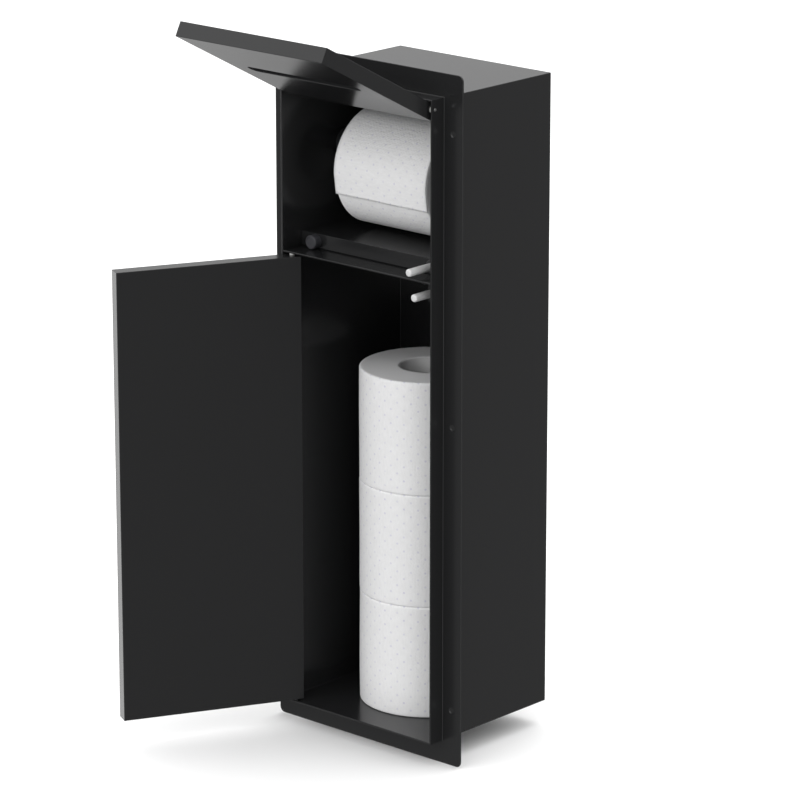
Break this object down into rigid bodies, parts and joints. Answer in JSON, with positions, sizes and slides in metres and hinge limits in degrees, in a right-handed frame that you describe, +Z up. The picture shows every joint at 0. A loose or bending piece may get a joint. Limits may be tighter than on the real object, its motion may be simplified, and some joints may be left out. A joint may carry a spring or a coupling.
{
  "type": "recessed toilet paper cabinet",
  "caption": "Tall recessed wall cabinet for toilet paper: a lift-up flap with a paper slot over a roll on a spindle, and a side-hung door over a store of spare rolls.",
  "frame": {"origin": "middle of the flange's back face, which lies on the wall board; also the centre of its screw holes", "axes": "+X to the right seen from the room, +Y into the wall, +Z up"},
  "size_m": [0.2553, 0.2862, 0.6303],
  "materials": {
    "black_steel": "satin black powder coat",
    "black_plastic": "fine matt texture",
    "black_rubber": "matt",
    "grey_plastic": "smooth, light grey",
    "white_nylon": "satin",
    "pin_steel": "bright",
    "spring_steel": "bright",
    "paper": "embossed tissue with fine pale lilac dots",
    "cardboard": "plain grey board"
  },
  "bodies": {
    "housing": {"housing_wrap": "black_steel", "top_plate": "black_steel", "bottom_plate": "black_steel", "flange_frame": "black_steel", "divider_shelf": "black_steel", "latch_bracket": "black_steel", "flap_buffer": "black_rubber", "flap_latch_body": "black_plastic", "flap_latch_cap": "black_plastic", "flap_latch_spring": "spring_steel", "door_latch_body": "black_plastic", "door_latch_cap": "black_plastic", "door_latch_spring": "spring_steel", "flap_pivot_pins": "pin_steel", "flap_friction_washers": "spring_steel", "door_pivot_pins": "pin_steel", "spindle_socket_left": "black_plastic", "spindle_socket_right": "black_plastic", "spindle_tube": "black_plastic", "spindle_spring": "spring_steel", "spare_paper_low": "paper", "spare_paper_mid": "paper", "spare_paper_top": "paper", "spare_core_low": "cardboard", "spare_core_mid": "cardboard", "spare_core_top": "cardboard"},
    "flap": {"flap_outer_pan": "black_steel", "flap_inner_plate": "black_steel", "flap_pivot_bushes": "white_nylon"},
    "door": {"door_outer_pan": "black_steel", "door_inner_plate": "black_steel", "door_pivot_bushes": "white_nylon"},
    "flap_push_rod": {"flap_latch_plunger": "grey_plastic"},
    "door_push_rod": {"door_latch_plunger": "grey_plastic"},
    "spindle_inner": {"spindle_rod": "black_plastic"},
    "roll": {"roll_paper": "paper", "roll_core": "cardboard"}
  },
  "joints": [
    {"name": "flap_hinge", "type": "hinge", "parent": "housing", "child": "flap", "pos_m": [0, -0.0123, 0.2665], "axis": [1, 0, 0], "range_deg": [0, 117.5]},
    {"name": "door_hinge", "type": "hinge", "parent": "housing", "child": "door", "pos_m": [-0.0755, -0.0123, -0.0765], "axis": [0, 0, 1], "range_deg": [0, 117.5]},
    {"name": "flap_push_rod_slide", "type": "slide", "parent": "housing", "child": "flap_push_rod", "axis": [0, 1, 0], "range_m": [0, 0.02], "deforming": ["flap_latch_spring"]},
    {"name": "door_push_rod_slide", "type": "slide", "parent": "housing", "child": "door_push_rod", "axis": [0, 1, 0], "range_m": [0, 0.0135], "deforming": ["door_latch_spring"]},
    {"name": "spindle_rod_slide", "type": "slide", "parent": "housing", "child": "spindle_inner", "axis": [-1, 0, 0], "range_m": [0, 0.015], "stiffness_N_per_m": 400, "springref_m": -0.01, "deforming": ["spindle_spring"]},
    {"name": "roll_spin", "type": "hinge", "parent": "housing", "child": "roll", "pos_m": [0.0015, 0.0612, 0.1898], "axis": [1, 0, 0], "continuous": true}
  ],
  "couplings": [
    {"joint": "flap_push_rod_slide", "follows": "flap_hinge", "m_per_rad": 0.0097525},
    {"joint": "door_push_rod_slide", "follows": "door_hinge", "m_per_rad": 0.0065829}
  ]
}
